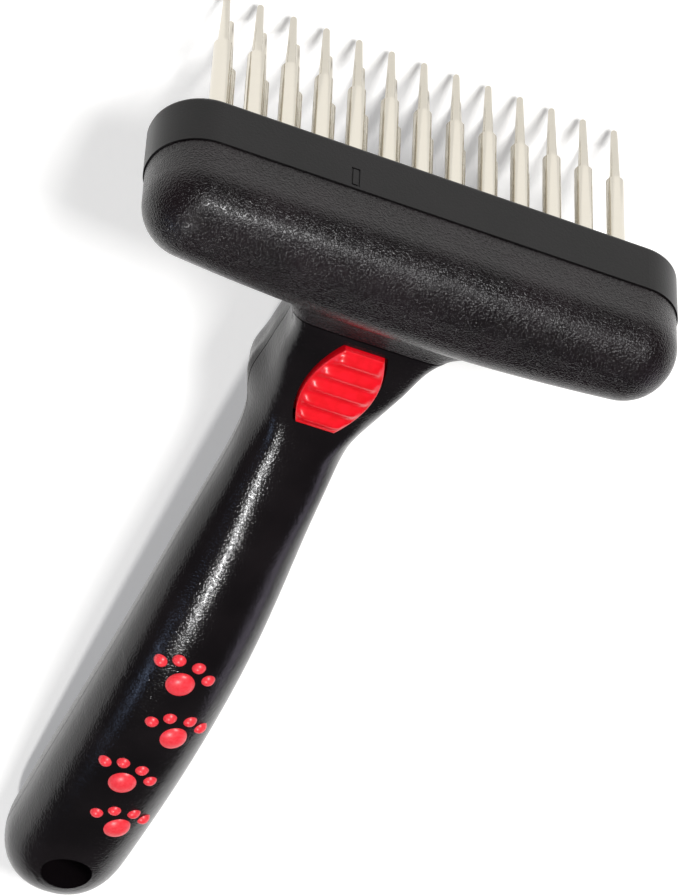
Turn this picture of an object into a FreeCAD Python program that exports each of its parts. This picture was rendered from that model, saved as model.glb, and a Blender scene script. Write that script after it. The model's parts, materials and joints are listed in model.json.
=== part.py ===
import FreeCAD, Part
import math
import os

V = FreeCAD.Vector

# Dematting comb (undercoat rake) with turning pins and a head that comes off the handle.
# Design frame: origin at the tip of the middle pin of the outer row, +X along the head,
# +Y from the head to the butt of the handle, +Z from the pin tips up to the release button.
# At the end everything is tipped about X until pin tips and butt rest on the floor, z = 0.

# Pins
pin_pitch = 6.0
row_spacing = 5.6
outer_pins = 13
inner_pins = 12
pin_reach = 32.7            # tip to the face of the head
needle_length = 11.6
needle_tip_radius = 0.58
needle_root_radius = 0.95
barrel_radius = 1.55
shoulder_height = 0.55
pin_flange_radius = 2.25
pin_flange_height = 1.5
pin_spindle_radius = 1.0
pin_spindle_length = 2.7
pin_side_clearance = 0.06
pin_end_clearance = 0.15

# Head
head_end_margin = 10.5      # beyond the last outer pins
head_length = (outer_pins - 1) * pin_pitch + 2 * head_end_margin
head_front_y = -8.0
head_back_y = 12.6
head_back_bow = 3.6         # how much further back the middle stands than the ends
head_corner_radius = 8.8
head_height = 23.3
cover_height = 9.3
cover_floor = 2.5
cover_wall = 2.4
cover_rim_fillet = 0.9
cover_overhang = 0.25       # the cover stands this much proud of the body along the joint
mould_mark_x = 14.8
mould_mark_width = 1.5
mould_mark_height = 3.8
mould_mark_above_joint = 0.5
mould_mark_line = 0.3
mould_mark_depth = 0.2
lip_height = 1.6
lip_thickness = 1.1
lip_clearance = 0.1
body_wall = 2.6
body_crown_radius = 8.3
retainer_thickness = 3.0
retainer_margin = 0.4
head_screw_inset = 5.6
head_boss_radius = 2.65
head_screw_y = 2.0

# Neck, where the head's stub meets the handle
seam_y = 17.8
seam_gap = 0.3
neck_top_z = 49.0
neck_bottom_z = 34.0
neck_half_width = 12.8
neck_square_top = 7.0       # squareness of the neck's upper half, 2 is an ellipse
neck_square_bottom = 4.6
neck_flare_radius = 11.0    # of the hollow corner between the back of the head and the neck's side
neck_flare_inset = 0.4      # how far inside the back of the head that corner starts
neck_root_depth = 6.5
neck_root_rise = 1.8
neck_root_swell = 2.6
neck_foot_half_width = 20.0
neck_foot_clearance = 0.2

# Handle
grip_half_width = 12.0
grip_half_height = 11.0
grip_end_y = 164.6
grip_round_start_y = 149.0
handle_wall = 2.2
split_z = 42.2
split_gap = 0.12

# Tongue on the head and latch in the handle
tongue_half_width = 5.5
tongue_bottom_z = 39.4
tongue_thickness = 3.8
tongue_length = 18.6
tongue_clearance = 0.2
tongue_chamfer = 0.8
notch_y = 24.8
notch_length = 3.6
notch_depth = 1.9
notch_half_width = 3.3
leaf_thickness = 0.6
leaf_half_width = 2.9
leaf_start_y = 23.2
leaf_end_y = 49.0
leaf_gap = 0.15
leaf_wing_y = 30.2
leaf_wing_half_length = 1.3
leaf_hole_y = 46.2
hump_rise = 1.5
hump_clearance = 0.3

# Release button
button_centre_y = 30.1
button_half_length = 10.2
button_end_half_width = 3.7
button_mid_half_width = 6.0
button_proud = 0.9
button_rib_height = 0.7
button_rib_count = 5
button_window_clearance = 0.25
button_flange_thickness = 1.2
button_flange_margin = 1.2
button_flange_side_gap = 0.25
button_flange_gap = 0.1
button_leg_inner_x = 6.0
button_leg_thickness = 1.2
button_leg_length_y = 3.0
button_leg_gap = 0.12
button_travel = 1.8

# Screws
screw_shank_radius = 1.4
screw_head_radius = 2.7
screw_head_height = 1.7
screw_fit = 0.05
screw_recess = 0.8
screw_tip_depth = 3.2       # below the inside of the top shell
screw_pilot_spare = 0.6
boss_radius = 3.1
grip_screw_places = (58.0, 82.0, 114.4, 142.0)
latch_screw_shank_radius = 1.1
latch_screw_head_radius = 2.2
latch_screw_head_height = 1.3
latch_screw_length = 5.4

# Paw inlays: one pad and four toes each, on stems from a backing plate
paw_pad_half_width = 2.75
paw_pad_half_length = 3.2
paw_pad_rise = 0.85
paw_toe_radius = 1.4
paw_toe_rise = 0.75
paw_toe_places = ((4.9, -3.0), (2.3, -5.0), (-1.4, -4.9), (-4.1, -2.7))
paw_stem_radius = 0.8
paw_plate_thickness = 1.2
paw_plate_gap = 0.4
# Each paw's pad: x, y, turn in degrees
paw_centres = ((0.7, 95.3, 2.0), (-3.0, 107.9, 0.0), (0.7, 121.9, 6.0), (-3.0, 134.6, 2.0))

# Hanging hole
hang_hole_y = 151.6
hang_hole_radius = 4.8
hang_sleeve_wall = 1.6
hang_rim_flare = 0.7

head_face_z = pin_reach
cover_top_z = head_face_z + cover_height
head_top_z = head_face_z + head_height
cover_floor_z = head_face_z + cover_floor
lip_inset = cover_overhang + body_wall - lip_thickness
retainer_bottom_z = cover_floor_z + pin_flange_height + 2 * pin_end_clearance
retainer_top_z = retainer_bottom_z + retainer_thickness
row_centre_y = row_spacing / 2
neck_mid_z = (neck_top_z + neck_bottom_z) / 2
neck_half_height = (neck_top_z - neck_bottom_z) / 2
handle_start_y = seam_y + seam_gap / 2
stub_end_y = seam_y - seam_gap / 2
tongue_top_z = tongue_bottom_z + tongue_thickness
leaf_top_z = tongue_bottom_z - leaf_gap
ceiling_z = neck_top_z - handle_wall
floor_z = neck_bottom_z + handle_wall

# Neck stations: y, and how much narrower the top face is than the middle there.
# Grip stations: y, middle height, shares of the grip's half width and half height, squareness above
# and below, and how much narrower the top is.
inside_start_y = handle_start_y + handle_wall
neck_narrowing = (
    (handle_start_y, 0.0),
    (inside_start_y, 0.3),
    (23.0, 0.8),
    (28.0, 1.7),
    (34.0, 3.2),
    (39.5, 4.8),
)
grip_curve = [
    (45.5, 42.6, 0.87, 0.72, 4.2, 3.2, 3.4),
    (53.0, 44.8, 0.77, 0.76, 2.8, 2.3, 0.5),
    (64.0, 48.4, 0.81, 0.84, 2.3, 2.1, 0.0),
    (76.0, 52.3, 0.88, 0.91, 2.2, 2.1, 0.0),
    (90.0, 56.6, 0.94, 0.96, 2.2, 2.1, 0.0),
    (106.0, 59.9, 0.98, 0.99, 2.2, 2.1, 0.0),
    (122.0, 62.2, 1.0, 1.0, 2.2, 2.1, 0.0),
    (138.0, 63.8, 1.0, 1.0, 2.2, 2.1, 0.0),
    (grip_round_start_y, 64.8, 0.99, 0.985, 2.2, 2.1, 0.0),
]
grip_end_z = 65.8
grip_end_steps = (0.3, 0.52, 0.7, 0.83, 0.92, 0.97, 0.995)
grip_end_roundness = 2.8


def box(x0, x1, y0, y1, z0, z1):
    return Part.makeBox(x1 - x0, y1 - y0, z1 - z0, V(x0, y0, z0))


def cylinder(radius, x, y, z0, z1):
    return Part.makeCylinder(radius, z1 - z0, V(x, y, z0))


def vertical_edges(shape):
    found = []
    for edge in shape.Edges:
        ends = [v.Point for v in edge.Vertexes]
        if len(ends) == 2 and abs(ends[0].x - ends[1].x) < 1e-6 and abs(ends[0].y - ends[1].y) < 1e-6:
            found.append(edge)
    return found


def edges_at_height(shape, z):
    return [e for e in shape.Edges if all(abs(v.Z - z) < 1e-6 for v in e.Vertexes)]


def head_prism(z0, z1, inset):
    """Straight front, bowed back and rounded corners, set in by inset all round."""
    half = head_length / 2 - inset
    front = head_front_y + inset
    back_mid = head_back_y - inset
    back_end = head_back_y - head_back_bow - inset
    a = V(-half, front, z0)
    b = V(half, front, z0)
    c = V(half, back_end, z0)
    d = V(-half, back_end, z0)
    back = Part.Arc(c, V(0, back_mid, z0), d).toShape()
    wire = Part.Wire([Part.makeLine(a, b), Part.makeLine(b, c), back, Part.makeLine(d, a)])
    prism = Part.Face(wire).extrude(V(0, 0, z1 - z0))
    return prism.makeFillet(head_corner_radius - inset, vertical_edges(prism))


def crowned_head_prism(z0, z1, inset):
    prism = head_prism(z0, z1, inset)
    crown = body_crown_radius - inset
    return prism.makeFillet(crown, edges_at_height(prism, z1))


def pin_places(row):
    count = (outer_pins, inner_pins)[row]
    first = -(count - 1) * pin_pitch / 2
    return [(first + i * pin_pitch, row * row_spacing) for i in range(count)]


def all_pin_places():
    return pin_places(0) + pin_places(1)


def section(y, mid, half_width, half_height, square_top, square_bottom, narrowing):
    """Closed curve in the plane y: an ellipse squared up by its exponents, whose top is narrower."""
    points = []
    steps = 48
    for i in range(steps):
        angle = 2 * math.pi * i / steps
        power = square_top if math.sin(angle) >= 0 else square_bottom
        across = abs(math.cos(angle) / half_width) ** power
        upright = abs(math.sin(angle) / half_height) ** power
        reach = (across + upright) ** (-1 / power)
        rise = reach * math.sin(angle)
        spread = 1 - narrowing * max(rise, 0) / half_height / half_width
        points.append(V(reach * math.cos(angle) * spread, y, mid + rise))
    curve = Part.BSplineCurve()
    curve.interpolate(Points=points, PeriodicFlag=True)
    return Part.Wire([curve.toShape()])


def neck_flare(y):
    """How much wider than its middle the neck is at y, where it runs into the head."""
    along = y - (head_back_y - neck_flare_inset)
    short = min(max(neck_flare_radius - along, 0), neck_flare_radius)
    return neck_flare_radius - math.sqrt(neck_flare_radius ** 2 - short ** 2)


def handle_stations():
    stations = []
    for y, narrowing in neck_narrowing:
        half_width = neck_half_width + neck_flare(y)
        square = (neck_square_top, neck_square_bottom)
        stations.append((y, neck_mid_z, half_width, neck_half_height, *square, narrowing))
    for y, mid, wide, high, *shape in grip_curve:
        stations.append((y, mid, wide * grip_half_width, high * grip_half_height, *shape))
    y, mid, half_width, half_height, *shape = stations[-1]
    for step in grip_end_steps:
        shrink = (1 - step ** grip_end_roundness) ** (1 / grip_end_roundness)
        end_y = y + step * (grip_end_y - y)
        end_mid = mid + step * (grip_end_z - mid)
        stations.append((end_y, end_mid, half_width * shrink, half_height * shrink, *shape))
    return stations


def handle_outside():
    return Part.makeLoft([section(*s) for s in handle_stations()], True, False)


def handle_inside():
    """The hollow, one wall inside the outer shape and closed at both ends."""
    inner = []
    last_y = grip_round_start_y + grip_end_steps[2] * (grip_end_y - grip_round_start_y)
    for y, mid, half_width, half_height, *shape in handle_stations():
        if inside_start_y <= y < last_y:
            inner.append((y, mid, half_width - handle_wall, half_height - handle_wall, *shape))
    return Part.makeLoft([section(*s) for s in inner], True, False)


def split_points():
    points = [V(0, handle_start_y - 5, split_z), V(0, 44.0, split_z)]
    for y, mid, *rest in grip_curve[1:]:
        points.append(V(0, y, mid))
    points.append(V(0, grip_end_y + 5, grip_end_z))
    return points


def split_height(y):
    points = split_points()
    for a, b in zip(points, points[1:]):
        if a.y <= y <= b.y:
            return a.z + (b.z - a.z) * (y - a.y) / (b.y - a.y)
    return points[-1].z


def above_split(drop):
    """Everything above the joint between the two handle shells, or above a surface that much lower."""
    side = grip_half_width + neck_half_width
    points = [p + V(-side, 0, -drop) for p in split_points()]
    high = grip_end_z + 3 * grip_half_height
    corners = points + [V(-side, points[-1].y, high), V(-side, points[0].y, high), points[0]]
    return Part.Face(Part.makePolygon(corners)).extrude(V(2 * side, 0, 0))


def button_outline(grow, z0, z1):
    """Straight ends and bulging sides."""
    end = button_end_half_width + grow
    mid = button_mid_half_width + grow
    y0 = button_centre_y - button_half_length - grow
    y1 = button_centre_y + button_half_length + grow
    a = V(-end, y0, z0)
    b = V(end, y0, z0)
    c = V(end, y1, z0)
    d = V(-end, y1, z0)
    right = Part.Arc(b, V(mid, button_centre_y, z0), c).toShape()
    left = Part.Arc(d, V(-mid, button_centre_y, z0), a).toShape()
    wire = Part.Wire([Part.makeLine(a, b), right, Part.makeLine(c, d), left])
    return Part.Face(wire).extrude(V(0, 0, z1 - z0))


def pin(x, y):
    """Needle, shoulder, barrel, flange and spindle, turned about the pin's own axis."""
    barrel_end = cover_floor_z + pin_end_clearance
    flange_end = barrel_end + pin_flange_height
    tip = needle_tip_radius
    profile = [
        V(tip, 0, tip),
        V(needle_root_radius, 0, needle_length),
        V(barrel_radius, 0, needle_length + shoulder_height),
        V(barrel_radius, 0, barrel_end),
        V(pin_flange_radius, 0, barrel_end),
        V(pin_flange_radius, 0, flange_end),
        V(pin_spindle_radius, 0, flange_end),
        V(pin_spindle_radius, 0, flange_end + pin_spindle_length),
        V(0, 0, flange_end + pin_spindle_length),
        V(0, 0, 0),
    ]
    half_round = math.sqrt(0.5)
    nose = Part.Arc(profile[-1], V(tip * half_round, 0, tip - tip * half_round), profile[0])
    edges = [nose.toShape()] + [Part.makeLine(p, q) for p, q in zip(profile, profile[1:])]
    turned = Part.Face(Part.Wire(edges)).revolve(V(0, 0, 0), V(0, 0, 1), 360)
    turned.translate(V(x, y, 0))
    return turned


def head_screw_places():
    x = head_length / 2 - head_screw_inset
    return [(-x, head_screw_y), (x, head_screw_y)]


def head_cover():
    outer = head_prism(head_face_z, cover_top_z, 0)
    outer = outer.makeFillet(cover_rim_fillet, edges_at_height(outer, head_face_z))
    shell = outer.cut(head_prism(cover_floor_z, cover_top_z + 1, cover_wall))
    lip_bottom = cover_top_z - 2 * lip_height
    lip_top = cover_top_z + lip_height
    lip = head_prism(lip_bottom, lip_top, lip_inset + lip_clearance)
    lip = lip.cut(head_prism(lip_bottom - 1, lip_top + 1, cover_wall + lip_thickness))
    for x, y in head_screw_places():
        lip = lip.cut(cylinder(head_boss_radius + lip_clearance, x, y, lip_bottom - 1, lip_top + 1))
    shell = shell.fuse(lip)
    for x, y in head_screw_places():
        shell = shell.fuse(cylinder(head_boss_radius, x, y, cover_floor_z - 0.5, retainer_bottom_z))
    holes = []
    for x, y in all_pin_places():
        holes.append(cylinder(barrel_radius + pin_side_clearance, x, y, head_face_z - 1, cover_floor_z + 1))
    for x, y in head_screw_places():
        holes.append(cylinder(screw_shank_radius + screw_fit, x, y, head_face_z - 1, retainer_bottom_z + 1))
        counterbore = head_face_z + screw_head_height
        holes.append(cylinder(screw_head_radius + screw_fit, x, y, head_face_z - 1, counterbore))
    return shell.cut(holes).cut(mould_mark()).removeSplitter()


def mould_mark():
    """Outline that a mould insert leaves on the front wall of the cover."""
    left = mould_mark_x - mould_mark_width / 2
    right = mould_mark_x + mould_mark_width / 2
    top = cover_top_z - mould_mark_above_joint
    bottom = top - mould_mark_height
    front = head_front_y - 1
    back = head_front_y + mould_mark_depth
    line = mould_mark_line
    frame = box(left, right, front, back, bottom, top)
    return frame.cut(box(left + line, right - line, front, back, bottom + line, top - line))


def pin_retainer():
    """Plate that the pin flanges run against, with a bearing hole for each spindle."""
    plate = head_prism(retainer_bottom_z, retainer_top_z, cover_wall + lip_thickness + retainer_margin)
    holes = []
    for x, y in all_pin_places():
        radius = pin_spindle_radius + pin_side_clearance
        holes.append(cylinder(radius, x, y, retainer_bottom_z - 1, retainer_top_z + 1))
    for x, y in head_screw_places():
        radius = screw_shank_radius + 2 * screw_fit
        holes.append(cylinder(radius, x, y, retainer_bottom_z - 1, retainer_top_z + 1))
    return plate.cut(holes)


def neck_stub():
    """From inside the back of the head, round the hollow corner, to the seam."""
    root_y = head_back_y - neck_root_depth
    corner_y = head_back_y - neck_flare_inset
    rings = []
    for y in (root_y, corner_y, corner_y + 0.8, corner_y + 2.0, corner_y + 3.6, stub_end_y):
        share = ((stub_end_y - y) / (stub_end_y - root_y)) ** 1.6
        half_width = neck_half_width + neck_flare(y)
        half_height = neck_half_height + share * neck_root_swell
        mid = neck_mid_z + share * neck_root_rise
        rings.append(section(y, mid, half_width, half_height, neck_square_top, neck_square_bottom, 0))
    return Part.makeLoft(rings, True, False)


def head_body():
    inset = cover_overhang
    block = crowned_head_prism(cover_top_z, head_top_z, inset)
    stub = neck_stub()
    above = stub.common(box(-head_length, head_length, 0, stub_end_y + 1, cover_top_z, head_top_z))
    below = stub.common(box(-neck_foot_half_width, neck_foot_half_width, 0, stub_end_y + 1, 0, cover_top_z))
    below = below.cut(head_prism(0, head_top_z, -neck_foot_clearance))
    body = block.fuse(above).fuse(below)
    hollow = crowned_head_prism(cover_top_z - 5, head_top_z - body_wall, inset + body_wall)
    body = body.cut(hollow)
    body = body.cut(head_prism(cover_top_z - 1, cover_top_z + lip_height + lip_clearance, lip_inset))
    for x, y in head_screw_places():
        top = head_top_z - body_crown_radius + 1
        post = cylinder(head_boss_radius, x, y, retainer_top_z, top)
        body = body.fuse(post)
        body = body.cut(cylinder(screw_shank_radius + screw_fit, x, y, retainer_top_z - 1, top - 2.5))
    half = head_length / 2 - head_corner_radius
    rib_y = row_centre_y - 0.8
    body = body.fuse(box(-half, half, rib_y, rib_y + 1.6, retainer_top_z, head_top_z - body_wall + 0.5))
    tongue = box(-tongue_half_width, tongue_half_width, stub_end_y - 2, stub_end_y + tongue_length,
                 tongue_bottom_z, tongue_top_z)
    tip_y = stub_end_y + tongue_length
    tip_edges = [e for e in tongue.Edges if all(abs(v.Y - tip_y) < 1e-6 for v in e.Vertexes)]
    tongue = tongue.makeChamfer(tongue_chamfer, tip_edges)
    notch = box(-notch_half_width, notch_half_width, notch_y, notch_y + notch_length,
                tongue_bottom_z - 1, tongue_bottom_z + notch_depth)
    return body.fuse(tongue).cut(notch).removeSplitter()


def head_screws():
    screws = []
    length = head_top_z - body_crown_radius - 3 - head_face_z
    for x, y in head_screw_places():
        head = cylinder(screw_head_radius, x, y, head_face_z + 0.1, head_face_z + screw_head_height)
        head = head.cut(cross_recess(x, y, head_face_z + 0.1, 1))
        shank = cylinder(screw_shank_radius, x, y, head_face_z + screw_head_height, head_face_z + length)
        screws.append(head.fuse(shank))
    return Part.makeCompound(screws)


def cross_recess(x, y, z, up):
    depth = 0.9 * up
    arm = 1.5
    half = 0.35
    z0, z1 = sorted((z - 0.1 * up, z + depth))
    across = box(x - arm, x + arm, y - half, y + half, z0, z1)
    return across.fuse(box(x - half, x + half, y - arm, y + arm, z0, z1))


def top_surface_height(outside, x, y):
    """Height of the outside of the handle above the point x, y."""
    line = Part.makeLine(V(x, y, 0), V(x, y, 120))
    return max(v.Z for v in line.common(outside).Vertexes)


def bottom_surface_height(outside, x, y):
    line = Part.makeLine(V(x, y, 0), V(x, y, 120))
    return min(v.Z for v in line.common(outside).Vertexes)


def paw_domes(centre_x, centre_y, turn):
    """Domes at their places on the handle: (x, y, half width, half length, rise)."""
    angle = math.radians(turn)
    domes = [(centre_x, centre_y, paw_pad_half_width, paw_pad_half_length, paw_pad_rise)]
    for dx, dy in paw_toe_places:
        x = centre_x + dx * math.cos(angle) + dy * math.sin(angle)
        y = centre_y - dx * math.sin(angle) + dy * math.cos(angle)
        domes.append((x, y, paw_toe_radius, paw_toe_radius, paw_toe_rise))
    return domes


def paw_inlay(outside, inside, centre_x, centre_y, turn):
    domes = paw_domes(centre_x, centre_y, turn)
    lowest = min(top_surface_height(inside, x, y) for x, y, *rest in domes)
    plate_top = lowest - paw_plate_gap
    reach = paw_toe_places[0][0] + paw_toe_radius
    plate_shift = (min(dy for dx, dy in paw_toe_places)) / 2
    plate = cylinder(reach, centre_x, centre_y + plate_shift, plate_top - paw_plate_thickness, plate_top)
    piece = plate
    for x, y, half_width, half_length, rise in domes:
        surface = top_surface_height(outside, x, y)
        dome = Part.makeSphere(1.0)
        matrix = FreeCAD.Matrix()
        matrix.scale(half_width, half_length, 2 * rise)
        dome = dome.transformGeometry(matrix)
        dome.translate(V(x, y, surface - rise))
        stem = cylinder(paw_stem_radius, x, y, plate_top - 0.1, surface - rise)
        piece = piece.fuse(dome).fuse(stem)
    return piece


def screw_seat(outside, y):
    """Height of the bottom of the handle shell's screw head at y."""
    return bottom_surface_height(outside, 0, y) + screw_recess


def handle_top_shell(outside, inside, paws):
    upper = above_split(0)
    shell = outside.cut(inside).common(upper)
    for y in grip_screw_places:
        ceiling = top_surface_height(inside, 0, y)
        boss = cylinder(boss_radius, 0, y, split_height(y) - 3, ceiling + 0.6).common(upper)
        shell = shell.fuse(boss)
        pilot_end = ceiling - screw_tip_depth + screw_pilot_spare
        shell = shell.cut(cylinder(screw_shank_radius + screw_fit, 0, y, 0, pilot_end))
    sleeve = cylinder(hang_hole_radius + hang_sleeve_wall, 0, hang_hole_y, 0, 120).common(outside)
    shell = shell.fuse(sleeve)
    shell = shell.cut(cylinder(hang_hole_radius, 0, hang_hole_y, 0, 120))
    flare_depth = 4.6
    for surface, way in ((top_surface_height(outside, 0, hang_hole_y), 1),
                         (bottom_surface_height(outside, 0, hang_hole_y), -1)):
        start = V(0, hang_hole_y, surface - way * (hang_rim_flare + 0.6))
        narrow = hang_hole_radius - 0.6
        shell = shell.cut(Part.makeCone(narrow, narrow + flare_depth, flare_depth, start, V(0, 0, way)))
    window = button_outline(button_window_clearance, tongue_top_z + 0.4, neck_top_z + 5)
    seat = button_flange_margin + button_flange_side_gap
    shell = shell.cut(window).cut(button_outline(seat, tongue_top_z + 0.4, ceiling_z))
    shell = shell.cut(tongue_mouth())
    return shell.cut(paws).removeSplitter()


def tongue_mouth():
    gap = tongue_clearance
    return box(-tongue_half_width - gap, tongue_half_width + gap, handle_start_y - 1,
               handle_start_y + handle_wall + 2, tongue_bottom_z - gap, tongue_top_z + gap)


def handle_bottom_shell(outside, inside):
    upper = above_split(0)
    shell = outside.cut(inside).cut(above_split(split_gap))
    for y in grip_screw_places:
        seat = screw_seat(outside, y)
        boss = cylinder(boss_radius, 0, y, seat - 0.3, 120).common(outside).cut(upper)
        shell = shell.fuse(boss)
        shell = shell.cut(cylinder(screw_shank_radius + screw_fit, 0, y, seat - 1, 120))
        shell = shell.cut(cylinder(screw_head_radius + 2 * screw_fit, 0, y, 0, seat + screw_head_height))
    shell = shell.cut(cylinder(hang_hole_radius + hang_sleeve_wall, 0, hang_hole_y, 0, 120))
    shell = shell.cut(tongue_mouth())
    for side in (-1, 1):
        x0, x1 = sorted((side * (leaf_half_width + 0.6), side * (tongue_half_width - 0.2)))
        for y0, y1 in ((handle_start_y + 1, leaf_wing_y - leaf_wing_half_length - 0.8),
                       (leaf_wing_y + leaf_wing_half_length + 0.8, stub_end_y + tongue_length)):
            shell = shell.fuse(box(x0, x1, y0, y1, floor_z - 0.5, tongue_bottom_z - tongue_clearance))
    seat_top = leaf_top_z - leaf_thickness
    post_x = leaf_half_width + 1
    post = box(-post_x, post_x, leaf_hole_y - 3, leaf_end_y + 0.6, floor_z - 1.2, seat_top)
    shell = shell.fuse(post.common(outside))
    pilot_radius = latch_screw_shank_radius + screw_fit
    pilot_bottom = seat_top - latch_screw_length + latch_screw_head_height
    return shell.cut(cylinder(pilot_radius, 0, leaf_hole_y, pilot_bottom, seat_top + 5)).removeSplitter()


def grip_screws(outside, inside):
    screws = []
    for y in grip_screw_places:
        seat = screw_seat(outside, y)
        top = top_surface_height(inside, 0, y) - screw_tip_depth
        head = cylinder(screw_head_radius, 0, y, seat, seat + screw_head_height)
        head = head.cut(cross_recess(0, y, seat, 1))
        screws.append(head.fuse(cylinder(screw_shank_radius, 0, y, seat + screw_head_height, top)))
    return Part.makeCompound(screws)


def release_button():
    flange_top = ceiling_z - button_flange_gap
    flange_bottom = flange_top - button_flange_thickness
    face = neck_top_z + button_proud
    cap = button_outline(0, flange_bottom, face)
    length = 2 * button_half_length
    rib_pitch = length / button_rib_count
    ribs = []
    for i in range(button_rib_count):
        y = button_centre_y - button_half_length + (i + 0.5) * rib_pitch
        radius = (rib_pitch ** 2 / 4 + button_rib_height ** 2) / (2 * button_rib_height)
        centre = V(-button_mid_half_width - 1, y, face + button_rib_height - radius)
        ribs.append(Part.makeCylinder(radius, 2 * button_mid_half_width + 2, centre, V(1, 0, 0)))
    crown = button_outline(-0.45, face - 0.2, face + button_rib_height + 1)
    for rib in ribs:
        cap = cap.fuse(rib.common(crown))
    button = cap.fuse(button_outline(button_flange_margin, flange_bottom, flange_top))
    for side in (-1, 1):
        x0, x1 = sorted((side * button_leg_inner_x, side * (button_leg_inner_x + button_leg_thickness)))
        half = button_leg_length_y / 2
        leg_bottom = leaf_top_z + button_leg_gap
        leg = box(x0, x1, leaf_wing_y - half, leaf_wing_y + half, leg_bottom, flange_bottom + 0.5)
        button = button.fuse(leg)
    return button.removeSplitter()


def latch_spring():
    """Steel leaf: its hump catches in the tongue's notch, its wings lie under the button's legs."""
    bottom = leaf_top_z - leaf_thickness
    strip = box(-leaf_half_width, leaf_half_width, leaf_start_y, leaf_end_y, bottom, leaf_top_z)
    wing_x = button_leg_inner_x + button_leg_thickness
    wings = box(-wing_x, wing_x, leaf_wing_y - leaf_wing_half_length, leaf_wing_y + leaf_wing_half_length,
                bottom, leaf_top_z)
    start = notch_y + hump_clearance
    end = notch_y + notch_length - hump_clearance
    top = tongue_bottom_z + hump_rise
    ramp = start + 1.6
    side = [V(-leaf_half_width, start, bottom), V(-leaf_half_width, ramp, top), V(-leaf_half_width, end, top),
            V(-leaf_half_width, end, bottom), V(-leaf_half_width, start, bottom)]
    hump = Part.Face(Part.makePolygon(side)).extrude(V(2 * leaf_half_width, 0, 0))
    hole = cylinder(latch_screw_shank_radius + screw_fit, 0, leaf_hole_y, bottom - 1, top + 1)
    return strip.fuse(wings).fuse(hump).cut(hole).removeSplitter()


def latch_screw():
    head_bottom = leaf_top_z
    head = cylinder(latch_screw_head_radius, 0, leaf_hole_y, head_bottom, head_bottom + latch_screw_head_height)
    head = head.cut(cross_recess(0, leaf_hole_y, head_bottom + latch_screw_head_height, -1))
    shank_bottom = head_bottom + latch_screw_head_height - latch_screw_length
    return head.fuse(cylinder(latch_screw_shank_radius, 0, leaf_hole_y, shank_bottom, head_bottom))


def build():
    outside = handle_outside()
    inside = handle_inside()
    paws = [paw_inlay(outside, inside, *centre) for centre in paw_centres]
    nodes = {
        "head_cover": head_cover(),
        "pin_retainer": pin_retainer(),
        "head_body": head_body(),
        "head_screws": head_screws(),
        "handle_top_shell": handle_top_shell(outside, inside, paws),
        "handle_bottom_shell": handle_bottom_shell(outside, inside),
        "handle_screws": grip_screws(outside, inside),
        "release_button": release_button(),
        "latch_spring": latch_spring(),
        "latch_screw": latch_screw(),
    }
    for number, paw in enumerate(paws, 1):
        nodes["paw_inlay_%d" % number] = paw
    for name, row in (("outer", 0), ("inner", 1)):
        for number, (x, y) in enumerate(pin_places(row), 1):
            nodes["%s_pin_%02d" % (name, number)] = pin(x, y)
    return nodes, outside


def lowest_after_tilt(points, angle):
    return min(-p.y * math.sin(angle) + p.z * math.cos(angle) for p in points)


def rest_tilt(outside):
    """Angle about X at which the butt and the inner row of pin tips touch the same floor."""
    belly = outside.tessellate(0.05)[0]
    tips = [V(0, row_spacing, 0), V(0, 0, 0)]
    low = 0.0
    high = math.radians(45)
    for step in range(40):
        angle = (low + high) / 2
        if lowest_after_tilt(belly, angle) > lowest_after_tilt(tips, angle):
            low = angle
        else:
            high = angle
    return (low + high) / 2


def rest_placement(nodes, outside):
    angle = rest_tilt(outside)
    turn = FreeCAD.Rotation(V(1, 0, 0), -math.degrees(angle))
    points = []
    for shape in nodes.values():
        points += [turn.multVec(p) for p in shape.tessellate(0.05)[0]]
    low_y = min(p.y for p in points)
    high_y = max(p.y for p in points)
    low_z = min(p.z for p in points)
    return FreeCAD.Placement(V(0, -(low_y + high_y) / 2, -low_z), turn)


def main():
    os.makedirs("parts", exist_ok=True)
    nodes, outside = build()
    place = rest_placement(nodes, outside)
    for name, shape in nodes.items():
        shape = shape.copy()
        shape.Placement = place.multiply(shape.Placement)
        shape.exportStep("parts/%s.step" % name)
    print("tilt %.3f degrees, origin moved %s" % (-math.degrees(place.Rotation.Angle), place.Base))
    return place


main()
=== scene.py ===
import bpy
import json
import math
from mathutils import Matrix, Vector


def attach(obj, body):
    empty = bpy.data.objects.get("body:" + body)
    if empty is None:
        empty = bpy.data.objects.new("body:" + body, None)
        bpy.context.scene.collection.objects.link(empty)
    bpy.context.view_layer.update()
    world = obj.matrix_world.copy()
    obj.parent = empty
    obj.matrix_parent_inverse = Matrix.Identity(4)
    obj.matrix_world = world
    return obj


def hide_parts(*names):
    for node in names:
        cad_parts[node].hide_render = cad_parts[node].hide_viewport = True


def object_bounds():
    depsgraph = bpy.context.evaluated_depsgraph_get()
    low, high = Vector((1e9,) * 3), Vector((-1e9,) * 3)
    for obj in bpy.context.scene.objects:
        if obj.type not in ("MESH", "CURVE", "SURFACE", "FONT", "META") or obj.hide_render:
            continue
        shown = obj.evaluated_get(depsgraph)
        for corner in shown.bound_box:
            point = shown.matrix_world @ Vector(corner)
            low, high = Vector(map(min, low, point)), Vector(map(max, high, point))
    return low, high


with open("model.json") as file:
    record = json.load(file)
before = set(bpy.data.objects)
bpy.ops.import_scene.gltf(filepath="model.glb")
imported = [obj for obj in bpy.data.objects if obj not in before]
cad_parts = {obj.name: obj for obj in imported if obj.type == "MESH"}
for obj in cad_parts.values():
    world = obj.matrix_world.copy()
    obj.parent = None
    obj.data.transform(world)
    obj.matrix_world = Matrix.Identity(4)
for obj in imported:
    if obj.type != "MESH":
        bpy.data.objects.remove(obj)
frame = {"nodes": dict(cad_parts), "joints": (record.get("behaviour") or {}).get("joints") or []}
cadLow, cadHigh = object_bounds()
scene = bpy.context.scene
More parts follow.
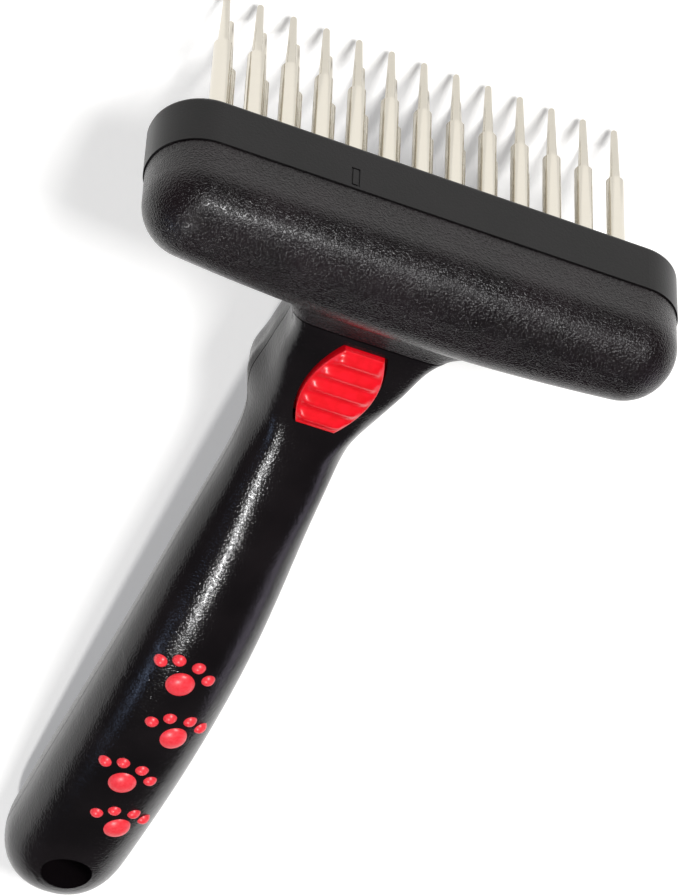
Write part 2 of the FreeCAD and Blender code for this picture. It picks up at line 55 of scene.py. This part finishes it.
scene.view_settings.view_transform = "Standard"
mm = 0.001
print("frame loaded")

pinReach = 32.7 * mm  # from a pin's tip to the face of the head, where its joint is


# the tool's own axes: x along the head, y towards the butt, z from the pin tips up to the button, in mm
def toolAxes():
    middlePin = next(j for j in frame["joints"] if j["name"] == "outer_pin_07_spin")
    up = Vector(middlePin["axis"]).normalized()
    along = Vector((1, 0, 0))
    tip = Vector(middlePin["pos_m"]) - up * pinReach
    axes = Matrix((along, up.cross(along), up)).transposed().to_4x4()
    return Matrix.Translation(tip) @ axes @ Matrix.Scale(mm, 4)


tool = toolAxes()
toolUp = tool.to_3x3().col[2].normalized()
toolTilt = math.atan2(toolUp.y, toolUp.z)  # how far the tool leans back when it lies on its pins and butt


# the camera looks down over the pins, from beside the head
cameraSpot = {
    "place": (164.0, -367.0, 413.2),
    "right": (-0.911, -0.411, -0.038),
    "down": (-0.287, 0.566, 0.773),
    "lens": 136.8,
    "clipStart": 10 * mm,
}


def makeCamera():
    turn = tool.to_3x3().normalized()
    right = (turn @ Vector(cameraSpot["right"])).normalized()
    up = -(turn @ Vector(cameraSpot["down"]))
    up = (up - right * up.dot(right)).normalized()
    axes = Matrix((right, up, right.cross(up))).transposed().to_4x4()
    camera = bpy.data.objects.new("camera", bpy.data.cameras.new("camera"))
    camera.matrix_world = Matrix.Translation(tool @ Vector(cameraSpot["place"])) @ axes
    camera.data.lens = cameraSpot["lens"]
    camera.data.clip_start = cameraSpot["clipStart"]
    scene.collection.objects.link(camera)
    scene.camera = camera


makeCamera()
print("camera placed")


# an sRGB hex colour as the linear values that nodes use
def colour(hexText, alpha=1.0):
    parts = [int(hexText[i:i + 2], 16) / 255 for i in (1, 3, 5)]
    linear = [p / 12.92 if p <= 0.04045 else ((p + 0.055) / 1.055) ** 2.4 for p in parts]
    return (*linear, alpha)


# one node, with its settings, and its inputs as values or as the sockets that feed them
def add(tree, kind, inputs=None, **settings):
    made = tree.nodes.new("ShaderNode" + kind)
    for name, value in settings.items():
        setattr(made, name, value)
    for name, value in (inputs or {}).items():
        if isinstance(value, bpy.types.NodeSocket):
            tree.links.new(value, made.inputs[name])
        else:
            made.inputs[name].default_value = value
    return made


# a new material with its object coordinates turned to the tool's own axes
def startMaterial(name):
    material = bpy.data.materials.new(name)
    material.use_nodes = True
    tree = material.node_tree
    tree.nodes.clear()
    coords = add(tree, "TexCoord")
    place = add(tree, "Mapping", {"Vector": coords.outputs["Object"], "Rotation": (toolTilt, 0, 0)})
    return material, tree, place.outputs["Vector"]


shadeEdges = (0.35, 0.65)  # noise values where one shade ends and the other begins


# two close shades of one colour, drifting over the surface
def shades(tree, source, dark, light):
    ramp = add(tree, "ValToRGB", {"Fac": source})
    ramp.color_ramp.elements[0].position = shadeEdges[0]
    ramp.color_ramp.elements[1].position = shadeEdges[1]
    ramp.color_ramp.elements[0].color = colour(dark)
    ramp.color_ramp.elements[1].color = colour(light)
    return ramp.outputs["Color"]


def endMaterial(tree, shader):
    add(tree, "OutputMaterial", {"Surface": shader.outputs["BSDF"]})


# Moulded ABS from a spark-eroded tool: near black, with a fine grain that breaks up its highlights.
# The real grain is about 0.1 mm across; on all three parts it is drawn coarser so that it shows.
# The IORs are below ABS's own 1.54, matched to how little of the pale floor shows in the real plastic.
headAbs = {
    "dark": "#0d080a",
    "light": "#160f12",
    "roughness": 0.22,
    "grain": 0.30 * mm,
    "grainHeight": 0.055 * mm,
    "grainEdges": (0.40, 0.68),
    "cloud": 9 * mm,
    "ior": 1.39,
}
# The cover's grain is hardly raised at all, so its wall stays an even dark grey.
coverAbs = {
    "dark": "#0b0a0a",
    "light": "#121011",
    "roughness": 0.34,
    "grain": 0.30 * mm,
    "grainHeight": 0.01 * mm,
    "grainEdges": (0.30, 0.70),
    "cloud": 12 * mm,
    "ior": 1.31,
}
# The grip's grain is shallow and the plastic between is smoother, so its highlights stay narrow.
gripAbs = {
    "dark": "#0c090b",
    "light": "#151113",
    "roughness": 0.16,
    "grain": 0.36 * mm,
    "grainHeight": 0.02 * mm,
    "grainEdges": (0.40, 0.70),
    "cloud": 14 * mm,
    "ior": 1.38,
}


# what all three share: how broken up the noises are, and how far the roughness drifts
absNoise = {"grainDetail": 1.5, "grainBreak": 0.5, "cloudDetail": 3.0, "roughDrop": 0.04, "roughRise": 0.05}


def mouldedAbs(name, look):
    material, tree, place = startMaterial(name)
    grain = add(tree, "TexNoise", {
        "Vector": place,
        "Scale": 1 / look["grain"],
        "Detail": absNoise["grainDetail"],
        "Roughness": absNoise["grainBreak"],
    })
    cloud = add(tree, "TexNoise", {
        "Vector": place,
        "Scale": 1 / look["cloud"],
        "Detail": absNoise["cloudDetail"],
    })
    rough = add(tree, "MapRange", {
        "Value": cloud.outputs["Fac"],
        "To Min": look["roughness"] - absNoise["roughDrop"],
        "To Max": look["roughness"] + absNoise["roughRise"],
    })
    foot, top = look["grainEdges"]  # the noise values where a grain starts to rise and where it is flat
    raised = add(tree, "MapRange", {"Value": grain.outputs["Fac"], "From Min": foot, "From Max": top})
    bump = add(tree, "Bump", {"Height": raised.outputs["Result"], "Distance": look["grainHeight"]})
    shader = add(tree, "BsdfPrincipled", {
        "Base Color": shades(tree, cloud.outputs["Fac"], look["dark"], look["light"]),
        "Roughness": rough.outputs["Result"],
        "Normal": bump.outputs["Normal"],
        "IOR": look["ior"],
    })
    endMaterial(tree, shader)
    return material


# Moulded red ABS: bright, with a thin highlight along each crest.
buttonAbs = {
    "dark": "#e00416",
    "light": "#ee0a20",
    "roughness": 0.30,
    "ripple": 1.8 * mm,
    "rippleDepth": 0.02 * mm,
    "rippleDetail": 2.0,
    "ior": 1.53,
}
# Soft-touch elastomer inlay: the same red, duller and a little lighter.
inlayRubber = {
    "dark": "#f0303c",
    "light": "#f8424c",
    "roughness": 0.36,
    "ripple": 0.5 * mm,
    "rippleDepth": 0.012 * mm,
    "rippleDetail": 2.0,
    "ior": 1.53,
}


def redPlastic(name, look):
    material, tree, place = startMaterial(name)
    ripple = add(tree, "TexNoise", {
        "Vector": place,
        "Scale": 1 / look["ripple"],
        "Detail": look["rippleDetail"],
    })
    bump = add(tree, "Bump", {"Height": ripple.outputs["Fac"], "Distance": look["rippleDepth"]})
    shader = add(tree, "BsdfPrincipled", {
        "Base Color": shades(tree, ripple.outputs["Fac"], look["dark"], look["light"]),
        "Roughness": look["roughness"],
        "Normal": bump.outputs["Normal"],
        "IOR": look["ior"],
    })
    endMaterial(tree, shader)
    return material


# Steel turned on a lathe and nickel plated: warm white metal, with very faint rings round each pin.
pinNickel = {
    "dark": "#cbc6bb",
    "light": "#cdc8bd",
    "roughness": 0.15,
    "ring": 0.2 * mm,
    "ringDepth": 0.0001 * mm,
}
# Zinc plated steel: cooler and duller than the pins.
screwZinc = {
    "dark": "#9da1a6",
    "light": "#b6bac0",
    "roughness": 0.34,
    "ring": 0.2 * mm,
    "ringDepth": 0.006 * mm,
}
# Rolled spring steel: grey, with fine rolling lines.
leafSteel = {
    "dark": "#7b7d82",
    "light": "#909298",
    "roughness": 0.28,
    "ring": 0.25 * mm,
    "ringDepth": 0.005 * mm,
}
# what the metals share: how slowly a ring wavers across a piece, and how far the roughness drifts
ringNoise = {"waver": 25 * mm, "detail": 2.0, "roughDrop": 0.05, "roughRise": 0.06}


def turnedMetal(name, look):
    material, tree, place = startMaterial(name)
    across = 1 / ringNoise["waver"]
    along = add(tree, "Mapping", {"Vector": place, "Scale": (across, across, 1 / look["ring"])})
    rings = add(tree, "TexNoise", {
        "Vector": along.outputs["Vector"],
        "Scale": 1.0,
        "Detail": ringNoise["detail"],
    })
    rough = add(tree, "MapRange", {
        "Value": rings.outputs["Fac"],
        "To Min": look["roughness"] - ringNoise["roughDrop"],
        "To Max": look["roughness"] + ringNoise["roughRise"],
    })
    bump = add(tree, "Bump", {"Height": rings.outputs["Fac"], "Distance": look["ringDepth"]})
    shader = add(tree, "BsdfPrincipled", {
        "Base Color": shades(tree, rings.outputs["Fac"], look["dark"], look["light"]),
        "Roughness": rough.outputs["Result"],
        "Normal": bump.outputs["Normal"],
        "Metallic": 1.0,
    })
    endMaterial(tree, shader)
    return material


# Natural acetal, machined: milky white and waxy.
retainerAcetal = {
    "dark": "#dedbd0",
    "light": "#e9e7df",
    "roughness": 0.42,
    "cloud": 6 * mm,
    "cloudDetail": 2.0,
    "ior": 1.48,
    "glow": 0.1,
    "glowDepth": 1.5 * mm,
}


def waxyAcetal(name, look):
    material, tree, place = startMaterial(name)
    cloud = add(tree, "TexNoise", {
        "Vector": place,
        "Scale": 1 / look["cloud"],
        "Detail": look["cloudDetail"],
    })
    shader = add(tree, "BsdfPrincipled", {
        "Base Color": shades(tree, cloud.outputs["Fac"], look["dark"], look["light"]),
        "Roughness": look["roughness"],
        "IOR": look["ior"],
        "Subsurface Weight": look["glow"],
        "Subsurface Scale": look["glowDepth"],
    })
    endMaterial(tree, shader)
    return material


headPlastic = mouldedAbs("sparkErodedAbs", headAbs)
coverPlastic = mouldedAbs("smoothBlackAbs", coverAbs)
gripPlastic = mouldedAbs("satinAbs", gripAbs)
buttonPlastic = redPlastic("mouldedRedAbs", buttonAbs)
inlayPlastic = redPlastic("redElastomer", inlayRubber)
nickel = turnedMetal("nickelPlatedSteel", pinNickel)
zinc = turnedMetal("zincPlatedSteel", screwZinc)
leaf = turnedMetal("springSteel", leafSteel)
acetal = waxyAcetal("naturalAcetal", retainerAcetal)


def finishNodes():
    finishes = {
        "head_cover": coverPlastic,
        "head_body": headPlastic,
        "handle_top_shell": gripPlastic,
        "handle_bottom_shell": gripPlastic,
        "release_button": buttonPlastic,
        "pin_retainer": acetal,
        "head_screws": zinc,
        "handle_screws": zinc,
        "latch_screw": zinc,
        "latch_spring": leaf,
    }
    for name, node in frame["nodes"].items():
        material = finishes.get(name, inlayPlastic if name.startswith("paw") else nickel)
        for place in node.material_slots:
            place.material = material


finishNodes()
print("materials made")


# a finished mesh drawn in the tool's mm is moved to its place, and rides on its body
def fit(piece, name, material, body, finish, *nodes):
    piece.name = name
    piece.data.name = name
    piece.data.transform(tool)
    piece.data.materials.clear()
    piece.data.materials.append(material)
    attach(piece, body)
    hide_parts(*nodes)


# the open rim is drawn out once more, and each of its new points is set by the rule
def drawRim(piece, rule):
    bpy.ops.object.mode_set(mode="EDIT")
    bpy.ops.mesh.select_mode(type="EDGE")
    bpy.ops.mesh.select_all(action="DESELECT")
    bpy.ops.mesh.select_non_manifold()
    bpy.ops.mesh.extrude_region_move()
    bpy.ops.object.mode_set(mode="OBJECT")
    for point in piece.data.vertices:
        if point.select:
            point.co = rule(point.co)


# The button in the tool's own mm: a flat face with five waves, a rounded edge, and a flange under the shell.
redButton = {
    "centre": 30.1,
    "halfLength": 10.2,
    "endHalfWidth": 3.7,
    "midHalfWidth": 6.0,
    "face": 49.9,
    "waves": 5,
    "waveHeight": 0.7,
    "waveEndPower": 8,
    "grid": (22, 100),
    "rim": 0.4,
    "rimSteps": ((0.22, 0.05), (0.12, 0.10), (0.06, 0.25)),
    "flangeTop": 46.7,
    "flangeMargin": 1.2,
    "flangeThickness": 1.2,
    "legPlace": (6.6, 30.2, 42.7),
    "legSize": (1.2, 3.0, 6.6),
    "legBevel": 0.2,
    "legBevelSteps": 3,
    "smoothAngle": 35,
}


# where a point of a grid from -1 to 1 lies on the face; the waves run out towards the sides
def buttonFace(point):
    spec = redButton
    y = spec["centre"] + point.y * (spec["halfLength"] - spec["rim"])
    bulge = spec["midHalfWidth"] - spec["endHalfWidth"]
    halfWidth = spec["midHalfWidth"] - bulge * point.y ** 2 - spec["rim"]
    wave = (1 - math.cos(math.pi * spec["waves"] * (point.y + 1))) / 2
    fade = 1 - abs(point.x) ** spec["waveEndPower"]
    return Vector((point.x * halfWidth, y, spec["face"] + spec["waveHeight"] * wave * fade))


# a rule that moves a point of the outline out by a margin, and to a height or down by a drop
def buttonStep(margin, height=None, drop=0):
    centre = redButton["centre"]

    def rule(point):
        out = Vector((point.x / redButton["midHalfWidth"], (point.y - centre) / redButton["halfLength"]))
        x = point.x + margin * out.x
        y = point.y + margin * out.y
        return Vector((x, y, point.z - drop if height is None else height))
    return rule


def makeButton():
    spec = redButton
    bpy.ops.object.select_all(action="DESELECT")
    across, along = spec["grid"]
    bpy.ops.mesh.primitive_grid_add(x_subdivisions=across, y_subdivisions=along, size=2)
    button = bpy.context.object
    for point in button.data.vertices:
        point.co = buttonFace(point.co)
    for margin, drop in spec["rimSteps"]:
        drawRim(button, buttonStep(margin, drop=drop))
    drawRim(button, buttonStep(0.0, height=spec["flangeTop"]))
    drawRim(button, buttonStep(spec["flangeMargin"], height=spec["flangeTop"]))
    drawRim(button, buttonStep(0.0, height=spec["flangeTop"] - spec["flangeThickness"]))
    bpy.ops.object.mode_set(mode="EDIT")
    bpy.ops.mesh.select_all(action="DESELECT")
    bpy.ops.mesh.select_non_manifold()
    bpy.ops.mesh.edge_face_add()
    bpy.ops.mesh.select_all(action="SELECT")
    bpy.ops.mesh.normals_make_consistent(inside=False)
    bpy.ops.object.mode_set(mode="OBJECT")
    x, y, z = spec["legPlace"]
    for side in (-1, 1):
        addLeg(button, (side * x, y, z))
    bpy.ops.object.shade_smooth_by_angle(angle=math.radians(spec["smoothAngle"]))
    fit(button, "releaseButton", buttonPlastic, "button", "red_button", "release_button")


# a leg that bears on the latch spring, joined to the button's underside
def addLeg(button, place):
    spec = redButton
    bpy.ops.object.select_all(action="DESELECT")
    bpy.ops.mesh.primitive_cube_add(size=1, location=place, scale=spec["legSize"])
    leg = bpy.context.object
    bpy.ops.object.mode_set(mode="EDIT")
    bpy.ops.mesh.select_all(action="SELECT")
    bpy.ops.mesh.bevel(offset=spec["legBevel"], segments=spec["legBevelSteps"], affect="EDGES")
    bpy.ops.object.mode_set(mode="OBJECT")
    bpy.ops.object.select_all(action="DESELECT")
    button.select_set(True)
    bpy.context.view_layer.objects.active = button
    join = button.modifiers.new("leg", "BOOLEAN")
    join.object = leg
    join.operation = "UNION"
    join.solver = "EXACT"
    bpy.ops.object.modifier_apply(modifier="leg")
    bpy.data.objects.remove(leg)


makeButton()
print("button made")


# Matt paper on a light table: it glows a little, so shadows on it stay pale.
litPaper = {
    "dark": "#f1f0ee",
    "light": "#f5f4f2",
    "roughness": 0.9,
    "fibre": 0.6 * mm,
    "fibreDetail": 2.0,
    "glowTint": "#ffffff",
    "glow": 0.33,
    "side": 6,
}


def makeFloor():
    material, tree, place = startMaterial("litPaper")
    fibre = add(tree, "TexNoise", {
        "Vector": place,
        "Scale": 1 / litPaper["fibre"],
        "Detail": litPaper["fibreDetail"],
    })
    shader = add(tree, "BsdfPrincipled", {
        "Base Color": shades(tree, fibre.outputs["Fac"], litPaper["dark"], litPaper["light"]),
        "Roughness": litPaper["roughness"],
        "Specular IOR Level": 0.0,
        "Emission Color": colour(litPaper["glowTint"]),
        "Emission Strength": litPaper["glow"],
    })
    endMaterial(tree, shader)
    bpy.ops.object.select_all(action="DESELECT")
    bpy.ops.mesh.primitive_plane_add(size=litPaper["side"])
    floor = bpy.context.object
    floor.name = "floor"
    floor.data.materials.append(material)


makeFloor()

# Soft boxes round the tool: the overhead one draws the band on the head, and the streak one the line on the
# grip. The cool and side ones edge the grip.
studioLights = {
    "overhead": {"place": (-0.08, -0.50, 0.80), "size": (0.25, 0.22), "power": 7.0, "tint": "#ffffff"},
    "streak": {"place": (0.17, 0.40, 0.81), "size": (0.06, 0.06), "power": 3.6, "tint": "#ffffff"},
    "cool": {"place": (0.49, 0.61, 0.50), "size": (0.20, 0.10), "power": 0.35, "tint": "#bcd4ff"},
    "side": {"place": (-0.95, 0.50, 0.25), "size": (0.5, 0.3), "power": 0.8, "tint": "#e6dcf4"},
}


def makeLight(name, facts):
    lamp = bpy.data.lights.new(name, "AREA")
    lamp.shape = "RECTANGLE"
    lamp.size, lamp.size_y = facts["size"]
    lamp.energy = facts["power"]
    lamp.color = colour(facts["tint"])[:3]
    stand = bpy.data.objects.new(name, lamp)
    stand.location = facts["place"]
    stand.rotation_mode = "QUATERNION"
    stand.rotation_quaternion = (stand.location - (cadLow + cadHigh) / 2).to_track_quat("Z", "Y")
    scene.collection.objects.link(stand)


for name, facts in studioLights.items():
    makeLight(name, facts)

# a dim room, so that the black plastic stays black between the lights
dimRoom = {"tint": "#ffffff", "strength": 0.09}
room = bpy.data.worlds.new("room")
room.use_nodes = True
background = room.node_tree.nodes["Background"]
background.inputs["Color"].default_value = colour(dimRoom["tint"])
background.inputs["Strength"].default_value = dimRoom["strength"]
scene.world = room
print("studio set")
